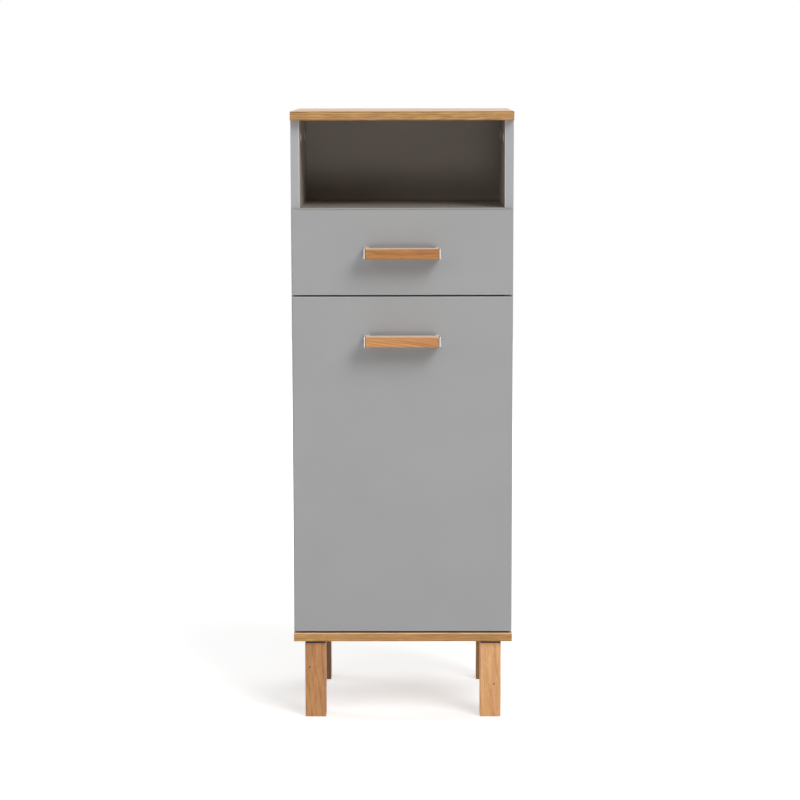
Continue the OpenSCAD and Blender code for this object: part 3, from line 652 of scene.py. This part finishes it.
nickel = metal("satinNickel", bracketGrooveShade)
dress(nickel, "drawer_handle_brackets", "door_handle_brackets")
zincPlate = metal("zincPlate")
dress(metal("rolledSteel"), *(name for name in nodes if name.startswith("runner_")))
ballSteel = metal("ballSteel")
zinced = ("_screws", "_bolts", "_locks", "_pins")
dress(zincPlate, *(name for name in nodes if name.startswith("hinge_") or name.endswith(zinced)))

beechWood = {
    "colour": (0.62, 0.41, 0.24),
    "deep": (0.54, 0.33, 0.18),
    "fleck": (0.36, 0.2, 0.1),
    "stretch": (1, 1, 0.3),
    "fleckNoise": (1400, 3, 0.6),
    "fleckDepth": 0.00003,
    "cloud": (120, 2, 0.5),
    "specular": 0.4,
    "roughness": 0.5,
}


def beechPin():
    finish = Finish("beechPin", Specular_IOR_Level=beechWood["specular"])
    drawnOut = finish.times(finish.place, beechWood["stretch"])
    fleck = finish.noise(drawnOut, *beechWood["fleckNoise"])
    cloud = finish.noise(finish.place, *beechWood["cloud"])
    colour = finish.mix(cloud.ramp(0.3, 0.7), beechWood["colour"], beechWood["deep"])
    colour = finish.mix(fleck.ramp(0.55, 0.75, 0.0, 0.5), colour, beechWood["fleck"])
    rough = beechWood["roughness"] + 0.15 * fleck
    return finish.surface(colour, rough, fleck, beechWood["fleckDepth"])


beech = beechPin()

plastics = {
    "plateBlack": {
        "colour": (0.009, 0.008, 0.007),
        "fleck": (0.016, 0.015, 0.014),
        "roughness": 0.5,
    },
    "cageDark": {"colour": (0.042, 0.042, 0.043), "fleck": (0.06, 0.06, 0.06), "roughness": 0.42},
    "bumperClear": {"colour": (0.62, 0.62, 0.60), "fleck": (0.52, 0.52, 0.5), "roughness": 0.3},
}
mouldedFaces = {
    "grain": (1900, 2, 0.6),
    "grainDepth": 0.00002,
    "cloud": (90, 2, 0.5),
    "specular": 0.45,
}


def moulded(name):
    kind = plastics[name]
    finish = Finish(name, Specular_IOR_Level=mouldedFaces["specular"])
    grain = finish.noise(finish.place, *mouldedFaces["grain"])
    cloud = finish.noise(finish.place, *mouldedFaces["cloud"])
    colour = finish.mix(cloud.ramp(0.3, 0.7), kind["colour"], kind["fleck"])
    rough = kind["roughness"] + 0.14 * grain
    return finish.surface(colour, rough, grain, mouldedFaces["grainDepth"])


dress(moulded("plateBlack"), "leg_plates")
dress(moulded("cageDark"), "ball_cage_left", "ball_cage_right")
bumperClear = moulded("bumperClear")
print("metal and plastic finished")

# Screws, bolts, balls, dowels, bumpers and cam rims: each shape is drawn once and set where its
# CAD solids are

sides = {  # how finely the shapes are drawn
    "shank": 24,
    "head": 40,
    "turn": 14,
    "ridge": 5,
    "rim": 48,
    "band": 12,
    "dowel": 21,
    "dome": 32,
    "ball": 3,
}


class Shape(Graph):  # a Geometry Nodes tree that sets one shape on every point of a mesh
    def __init__(self, name, sizes):
        super().__init__(bpy.data.node_groups.new(name, "GeometryNodeTree"))
        sheet = self.tree.interface
        sheet.new_socket("Geometry", in_out="OUTPUT", socket_type="NodeSocketGeometry")
        sheet.new_socket("Geometry", in_out="INPUT", socket_type="NodeSocketGeometry")
        kinds = {
            label: "NodeSocketInt" if isinstance(value, int) else "NodeSocketFloat"
            for label, value in sizes.items()
        }
        kinds.update({"Seed": "NodeSocketInt", "Finish": "NodeSocketMaterial"})
        self.keys = {
            label: sheet.new_socket(label, in_out="INPUT", socket_type=kind).identifier
            for label, kind in kinds.items()
        }
        self.given = self.tree.nodes.new("NodeGroupInput")

    def take(self, label):
        return Wire(self, self.given.outputs[label])

    def join(self, *parts):
        node = self.tree.nodes.new("GeometryNodeJoinGeometry")
        for part in parts:
            self.tree.links.new(part.socket, node.inputs[0])
        return Wire(self, node.outputs[0])

    def shift(self, part, z, turn=(0, 0, 0)):
        inputs = {"Geometry": part, "Translation": self.vector(z=z), "Rotation": turn}
        return self.add("GeometryNodeTransform", {}, inputs)

    def sweep(self, path, profile):
        inputs = {"Curve": path, "Profile Curve": profile, "Fill Caps": True}
        return self.add("GeometryNodeCurveToMesh", {}, inputs)

    def circle(self, count, radius):
        inputs = {"Resolution": count, "Radius": radius}
        return self.add("GeometryNodeCurvePrimitiveCircle", {}, inputs)

    def thread(self, radius, turns, rise, ridge):  # a round ridge that winds up the shank
        inputs = {
            "Resolution": sides["turn"],
            "Rotations": turns,
            "Start Radius": radius,
            "End Radius": radius,
            "Height": rise,
        }
        helix = self.add("GeometryNodeCurveSpiral", {}, inputs)
        return self.sweep(helix, self.circle(sides["ridge"], ridge))

    def spread(self, part):  # part on every point, turned to its aim, with a random spin about it
        settings = {"data_type": "FLOAT_VECTOR"}
        aim = self.add("GeometryNodeInputNamedAttribute", settings, {"Name": "aim"})
        spin = self.add(
            "FunctionNodeRandomValue",
            {"data_type": "FLOAT"},
            {2: 0.0, 3: 2 * pi, "Seed": self.take("Seed")},
            output=1,
        )
        about = self.add("FunctionNodeAxisAngleToRotation", {}, {"Axis": (0, 0, 1), "Angle": spin})
        upright = self.add("FunctionNodeAlignRotationToVector", {"axis": "Z"}, {"Vector": aim})
        turned = self.add(
            "FunctionNodeRotateRotation", {"rotation_space": "LOCAL"}, {0: upright, 1: about}
        )
        places = Wire(self, self.given.outputs["Geometry"])
        inputs = {"Points": places, "Instance": part, "Rotation": turned}
        copies = self.add("GeometryNodeInstanceOnPoints", {}, inputs)
        real = self.add("GeometryNodeRealizeInstances", {}, {0: copies})
        inputs = {"Geometry": real, "Material": self.take("Finish")}
        finished = self.add("GeometryNodeSetMaterial", {}, inputs)
        end = self.tree.nodes.new("NodeGroupOutput")
        self.tree.links.new(finished.socket, end.inputs[0])
        return self


# Every shape hangs from its point: its outer end is at the point, the rest along -Z
screwSizes = {
    "Length": 0.013,
    "Shank Radius": 0.002,
    "Head Radius": 0.0036,
    "Head Under Radius": 0.002,
    "Head Height": 0.0012,
    "Pitch": 0.0018,
    "Thread Depth": 0.00045,
    "Recess Width": 0.0009,
    "Recess Reach": 0.0018,
    "Recess Depth": 0.0011,
}


def screwShape():
    shape = Shape("screwShape", screwSizes)
    length, shank, head = (shape.take(n) for n in ("Length", "Shank Radius", "Head Radius"))
    under, high = shape.take("Head Under Radius"), shape.take("Head Height")
    pitch, deep = shape.take("Pitch"), shape.take("Thread Depth")
    core = shank - deep
    tip = core * 1.6
    stem = length - tip - high * 0.5  # from the tip up into the head
    inputs = {"Vertices": sides["shank"], "Radius": core, "Depth": stem}
    shankPart = shape.add("GeometryNodeMeshCylinder", {}, inputs)
    inputs = {"Vertices": sides["shank"], "Radius Top": core, "Depth": tip}
    inputs["Radius Bottom"] = core * 0.25
    tipPart = shape.add("GeometryNodeMeshCone", {}, inputs)
    inputs = {"Vertices": sides["head"], "Radius Top": head, "Depth": high}
    inputs["Radius Bottom"] = under
    headPart = shape.shift(shape.add("GeometryNodeMeshCone", {}, inputs), 0.0 - high)
    reach, wide, sunk = (shape.take(f"Recess {n}") for n in ("Reach", "Width", "Depth"))
    size = shape.vector(reach * 2.0, wide, sunk * 2.0)
    blade = shape.add("GeometryNodeMeshCube", {}, {"Size": size})
    cross = shape.join(blade, shape.shift(blade, 0.0, (0, 0, pi / 2)))
    cut = {"Mesh 1": headPart, "Mesh 2": cross}
    cutting = {"operation": "DIFFERENCE", "solver": "EXACT"}
    headPart = shape.add("GeometryNodeMeshBoolean", cutting, cut)
    rise = length - high - tip
    ridge = deep * 0.5
    thread = shape.thread(core + ridge, rise / pitch, rise - ridge, ridge)
    whole = shape.join(
        headPart,
        shape.shift(shankPart, stem * 0.5 + tip - length),
        shape.shift(tipPart, 0.0 - length),
        shape.shift(thread, tip - length),
    )
    return shape.spread(whole)


studSizes = {"Length": 0.047, "Radius": 0.004, "Pitch": 0.0022, "Thread Depth": 0.0006}


def studShape():  # threaded from end to end
    shape = Shape("studShape", studSizes)
    length, radius = shape.take("Length"), shape.take("Radius")
    pitch, deep = shape.take("Pitch"), shape.take("Thread Depth")
    inputs = {"Vertices": sides["shank"], "Radius": radius - deep, "Depth": length}
    rod = shape.add("GeometryNodeMeshCylinder", {}, inputs)
    rise = length - deep
    ridge = deep * 0.5
    thread = shape.thread(radius - ridge, rise / pitch, rise, ridge)
    whole = shape.join(shape.shift(rod, 0.0 - length * 0.5), shape.shift(thread, ridge - length))
    return shape.spread(whole)


ballSizes = {"Radius": 0.0021}


def ballShape():
    shape = Shape("ballShape", ballSizes)
    radius = shape.take("Radius")
    inputs = {"Radius": radius, "Subdivisions": sides["ball"]}
    ball = shape.add("GeometryNodeMeshIcoSphere", {}, inputs)
    return shape.spread(shape.shift(ball, 0.0 - radius))


dowelSizes = {
    "Length": 0.03,
    "Radius": 0.004,
    "Flutes": 16,
    "Flute Depth": 0.00035,
    "Chamfer": 0.0015,
}


def dowelShape():
    shape = Shape("dowelShape", dowelSizes)
    length, radius, chamfer = (shape.take(n) for n in ("Length", "Radius", "Chamfer"))
    inputs = {"Start": shape.vector(), "End": shape.vector(z=0.0 - length)}
    axis = shape.add("GeometryNodeCurvePrimitiveLine", {}, inputs)
    inputs = {"Curve": axis, "Count": sides["dowel"]}
    axis = shape.add("GeometryNodeResampleCurve", {}, inputs)
    along = shape.add("GeometryNodeSplineParameter", output="Length")
    fromEnd = along.least(length - along)
    inputs = {"Curve": axis, "Radius": fromEnd.ramp(0.0, chamfer, 0.72, 1.0)}
    axis = shape.add("GeometryNodeSetCurveRadius", {}, inputs)
    inputs = {
        "Points": shape.take("Flutes"),
        "Inner Radius": radius - shape.take("Flute Depth"),
        "Outer Radius": radius,
    }
    star = shape.add("GeometryNodeCurveStar", {}, inputs)
    return shape.spread(shape.sweep(axis, star))


domeSizes = {"Radius": 0.004, "Height": 0.00175}


def domeShape():  # the upper half of a ball, pressed flat, over a level base
    shape = Shape("domeShape", domeSizes)
    radius, high = shape.take("Radius"), shape.take("Height")
    inputs = {"Segments": sides["dome"], "Rings": sides["dome"] // 2, "Radius": radius}
    dome = shape.add("GeometryNodeMeshUVSphere", {}, inputs)
    x, y, z = shape.parts(shape.add("GeometryNodeInputPosition"))
    lifted = shape.vector(x, y, (z / radius).most(0.0) * high - high)
    dome = shape.add("GeometryNodeSetPosition", {}, {"Geometry": dome, "Position": lifted})
    return shape.spread(dome)


rimSizes = {"Radius": 0.0082, "Width": 0.0012, "Thickness": 0.0014}


def rimShape():  # the rounded rim of a cam's head, on the face of the panel
    shape = Shape("rimShape", rimSizes)
    ring = shape.circle(sides["rim"], shape.take("Radius"))
    band = shape.circle(sides["band"], shape.take("Width") * 0.5)
    rim = shape.sweep(ring, band)
    x, y, z = shape.parts(shape.add("GeometryNodeInputPosition"))
    flat = shape.vector(x, y, z * (shape.take("Thickness") / shape.take("Width")))
    rim = shape.add("GeometryNodeSetPosition", {}, {"Geometry": rim, "Position": flat})
    return shape.spread(rim)


finding = {
    "weld": 1e-6,
    "widest": 0.97,  # a vertex of the widest part lies at least this far out, as a share
    "even": 0.02,  # how far off the middle the widest part may lie before it marks the outer end
}


def seats(node):  # each solid of a node: its outer end, the way it points, its length
    solids = bmesh.new()
    solids.from_mesh(nodes[node].data)
    bmesh.ops.remove_doubles(solids, verts=solids.verts, dist=finding["weld"])
    left, found = set(solids.verts), []
    while left:
        first = left.pop()
        island, edge = [first], [first]
        while edge:
            for link in edge.pop().link_edges:
                for vert in link.verts:
                    if vert in left:
                        left.discard(vert)
                        island.append(vert)
                        edge.append(vert)
        spots = [v.co.copy() for v in island]
        low = Vector([min(s[k] for s in spots) for k in range(3)])
        high = Vector([max(s[k] for s in spots) for k in range(3)])
        size, middle = high - low, (low + high) / 2
        odd = [abs(size[k - 2] - size[k - 1]) for k in range(3)]
        axis = odd.index(min(odd))  # across it the solid is as wide as it is high
        aim = Vector([float(k == axis) for k in range(3)])
        reach = [((s - middle) - (s - middle).dot(aim) * aim).length for s in spots]
        widest = [s for s, r in zip(spots, reach) if r > finding["widest"] * max(reach)]
        tilt = sum((s - middle).dot(aim) for s in widest) / len(widest)
        if tilt < -finding["even"] * size[axis]:
            aim = -aim
        found.append((middle + aim * size[axis] / 2, aim, size[axis]))
    solids.free()
    return sorted(found, key=lambda seat: tuple(round(v, 5) for v in seat[0]))


def plant(shape, places, sizes, seed, material):  # the shape on those places, as a plain mesh
    points = bpy.data.meshes.new("points")
    points.from_pydata([tuple(place) for place, aim, length in places], [], [])
    aims = points.attributes.new("aim", "FLOAT_VECTOR", "POINT")
    for n, (place, aim, length) in enumerate(places):
        aims.data[n].vector = aim
    stand = show("points", points)
    maker = stand.modifiers.new("shape", "NODES")
    maker.node_group = shape.tree
    for label, value in {**sizes, "Seed": seed, "Finish": material}.items():
        maker[shape.keys[label]] = value
    ready = stand.evaluated_get(bpy.context.evaluated_depsgraph_get())
    made = bpy.data.meshes.new_from_object(ready)
    stand.modifiers.remove(maker)
    bpy.data.objects.remove(stand)
    bpy.data.meshes.remove(points)
    return made


sharpAngle = radians(38)


def piece(name, meshes, material, body, replaced=()):
    whole = bmesh.new()
    for mesh in meshes:
        whole.from_mesh(mesh)
    bmesh.ops.recalc_face_normals(whole, faces=whole.faces)
    made = bpy.data.meshes.new(name)
    whole.to_mesh(made)
    whole.free()
    for face in made.polygons:
        face.material_index = 0
    made.materials.append(material)
    made.shade_smooth()
    made.set_sharp_from_angle(angle=sharpAngle)
    thing = show(name, made)
    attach(thing, body)
    if replaced:
        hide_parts(*replaced)
    print(name, len(made.polygons), "faces")


shapes = {
    "screw": (screwShape(), screwSizes),
    "stud": (studShape(), studSizes),
    "ball": (ballShape(), ballSizes),
    "dowel": (dowelShape(), dowelSizes),
    "dome": (domeShape(), domeSizes),
    "rim": (rimShape(), rimSizes),
}
panScrew = {
    "Length": 0.0274,
    "Head Radius": 0.004,
    "Head Under Radius": 0.0038,
    "Head Height": 0.0024,
    "Pitch": 0.0009,
    "Thread Depth": 0.0003,
    "Recess Depth": 0.0014,
}
plateScrew = {
    "Length": 0.013,
    "Shank Radius": 0.0025,
    "Head Radius": 0.0044,
    "Head Under Radius": 0.0025,
    "Head Height": 0.0022,
    "Pitch": 0.0026,
    "Thread Depth": 0.0007,
    "Recess Width": 0.0012,
    "Recess Reach": 0.0024,
    "Recess Depth": 0.0018,
}
armScrew = {
    **panScrew,
    "Length": 0.0106,
    "Shank Radius": 0.0025,
    "Head Radius": 0.0044,
    "Head Under Radius": 0.0042,
    "Head Height": 0.0016,
    "Recess Depth": 0.0011,
}
boxScrew = {
    "Length": 0.036,
    "Shank Radius": 0.0025,
    "Head Radius": 0.0045,
    "Head Under Radius": 0.0025,
    "Head Height": 0.003,
    "Pitch": 0.0024,
    "Thread Depth": 0.0006,
    "Recess Reach": 0.0022,
    "Recess Depth": 0.002,
}
legScrew = {
    "Length": 0.014,
    "Shank Radius": 0.00175,
    "Head Radius": 0.0033,
    "Head Under Radius": 0.00175,
    "Head Height": 0.0018,
}
cupScrew = {
    "Length": 0.011,
    "Shank Radius": 0.00175,
    "Head Radius": 0.003,
    "Head Under Radius": 0.00175,
    "Recess Reach": 0.0016,
}
fastenings = {  # name: shape, node, body, seed, the sizes that are its own
    "runnerScrews": ("screw", "runner_screws", "cabinet", 3, {}),
    "drawerRunnerScrews": ("screw", "drawer_runner_screws", "drawer", 5, {"Length": 0.01}),
    "legPlateScrews": ("screw", "leg_plate_screws", "cabinet", 7, legScrew),
    "hingeCupScrews": ("screw", "hinge_cup_screws", "door", 9, cupScrew),
    "drawerBoxScrews": ("screw", "drawer_box_screws", "drawer", 11, boxScrew),
    "drawerHandleScrews": ("screw", "drawer_handle_screws", "drawer", 13, panScrew),
    "doorHandleScrews": ("screw", "door_handle_screws", "door", 15, panScrew),
    "legHangerBolts": ("stud", "leg_hanger_bolts", "cabinet", 17, {}),
    "ballsLeft": ("ball", "balls_left", "ball_cage_left", 19, {}),
    "ballsRight": ("ball", "balls_right", "ball_cage_right", 21, {}),
    "flutedDowels": ("dowel", "dowels", "cabinet", 23, {}),
    "drawerBumpers": ("dome", "drawer_bumpers", "drawer", 25, {}),
    "doorBumpers": ("dome", "door_bumpers", "door", 27, {}),
}
finishes = {
    "ball": (ballSteel, "zinc_steel"),
    "dowel": (beech, "oak"),
    "dome": (bumperClear, "bumper"),
}
for name, (shape, node, body, seed, sizes) in fastenings.items():
    tree, usual = shapes[shape]
    material, slot = finishes.get(shape, (zincPlate, "zinc_steel"))
    made = plant(tree, seats(node), {**usual, **sizes}, seed, material)
    piece(name, [made], material, body, (node,))

armScrewLimit = 0.012  # the screws of the hinge arms are shorter than this, of the plates longer
hingeScrews = seats("hinge_plate_screws")
woodScrews = [seat for seat in hingeScrews if seat[2] > armScrewLimit]
armScrews = [seat for seat in hingeScrews if seat[2] <= armScrewLimit]
tree, usual = shapes["screw"]
made = [
    plant(tree, woodScrews, {**usual, **plateScrew}, 29, zincPlate),
    plant(tree, armScrews, {**usual, **armScrew}, 31, zincPlate),
]
piece("hingePlateScrews", made, zincPlate, "cabinet", ("hinge_plate_screws",))

camSunk = 0.001  # from the panel's face to the cam's
rims = []
for end, aim, length in seats("cam_locks"):
    middle = end - aim * length / 2
    if abs(aim.x) > 0.5:  # in a side panel, facing inwards
        aim = Vector((-1.0 if middle.x > 0 else 1.0, 0, 0))
    else:  # on the underside of a shelf
        aim = Vector((0, 0, -1.0))
    rims.append((middle + aim * (length / 2 + camSunk), aim, length))
tree, usual = shapes["rim"]
camRim = metal("camRim")
made = plant(tree, rims, usual, 33, camRim)
piece("camRims", [made], camRim, "cabinet")
print("screws, bolts, balls, dowels, bumpers and rims set")

# Camera and light

view = {
    "lens": 105.98,
    "sensor": 36,
    "place": (0.0202, -4.365, 1.1815),
    "down": radians(7.96),
    "swing": radians(0.335),
    "lean": radians(-0.106),
}
cameraData = bpy.data.cameras.new("camera")
cameraData.lens = view["lens"]
cameraData.sensor_width = view["sensor"]
camera = show("camera", cameraData)
camera.matrix_world = (
    Matrix.Translation(view["place"])
    @ Matrix.Rotation(view["swing"], 4, "Z")
    @ Matrix.Rotation(pi / 2 - view["down"], 4, "X")
    @ Matrix.Rotation(view["lean"], 4, "Z")
)
bpy.context.scene.camera = camera

studio = {
    "ambient": 0.2,
    "aim": (0.0, 0.0, 0.6),
    "lamps": {  # round from the front, up from level, distance, size, watts
        "keyRight": (38, 41, 12.0, 6.3, 870),
        "fillLeft": (-38, 26, 5.4, 2.6, 34),
        "lowFront": (4, -8, 3.8, 1.3, 33),
        "overhead": (8, 64, 4.6, 2.0, 12),
        "behind": (160, 52, 4.6, 2.4, 62),
        "sideLeft": (-104, 24, 5.0, 2.6, 70),
        "sideRight": (104, 24, 5.0, 2.6, 25),
    },
    "floorSize": 12.0,
    "floorTones": ((0.60, 0.60, 0.60), (0.62, 0.62, 0.62)),
    "floorClouds": (3, 2, 0.5),
    "floorGlow": {"near": 0.56, "far": 1.0, "from": 0.5, "to": 2.4},  # from and to are distances
}

world = bpy.data.worlds.new("studioWhite")
bpy.context.scene.world = world
world.use_nodes = True
sky = Graph(world.node_tree)
backdrop = world.node_tree.nodes["Background"]
backdrop.inputs["Color"].default_value = (1, 1, 1, 1)


def seen(graph):  # 1 for what the camera sees, also in a gloss or through glass
    camera, glossy, through = (
        graph.add("ShaderNodeLightPath", output=kind)
        for kind in ("Is Camera Ray", "Is Glossy Ray", "Is Transmission Ray")
    )
    return camera.most(glossy).most(through)


strength = studio["ambient"] + (1.0 - studio["ambient"]) * seen(sky)
world.node_tree.links.new(strength.socket, backdrop.inputs["Strength"])

aim = Vector(studio["aim"])
for name, (turn, up, distance, size, watts) in studio["lamps"].items():
    lampData = bpy.data.lights.new(name, "AREA")
    lampData.shape = "DISK"
    lampData.size = size
    lampData.energy = watts
    softbox = show(name, lampData)
    level, lift = radians(turn), radians(up)
    way = Vector((sin(level) * cos(lift), -cos(level) * cos(lift), sin(lift)))
    softbox.location = aim + distance * way
    softbox.rotation_euler = way.to_track_quat("Z", "Y").to_euler()

half = studio["floorSize"] / 2
floorMesh = bpy.data.meshes.new("studioFloor")
corners = [(-half, -half, 0), (half, -half, 0), (half, half, 0), (-half, half, 0)]
floorMesh.from_pydata(corners, [], [(0, 1, 2, 3)])
floor = show("studioFloor", floorMesh)
floorPaint = Finish("floorPaint", Roughness=0.9, Specular_IOR_Level=0.0, Emission_Strength=1.0)
tone = floorPaint.noise(floorPaint.place, *studio["floorClouds"])
floorPaint.feed("Base Color", floorPaint.mix(tone, *studio["floorTones"]))
x, y = floorPaint.parts(floorPaint.place, "XY")
glow = studio["floorGlow"]
share = (x * x + y * y).root().ramp(glow["from"], glow["to"], glow["near"], glow["far"])
white = floorPaint.mix(seen(floorPaint) * share, (0.0, 0.0, 0.0), (1.0, 1.0, 1.0))
floorPaint.feed("Emission Color", white)
floorMesh.materials.append(floorPaint.material)
bpy.context.scene.view_settings.view_transform = "Standard"
print("camera and studio set")
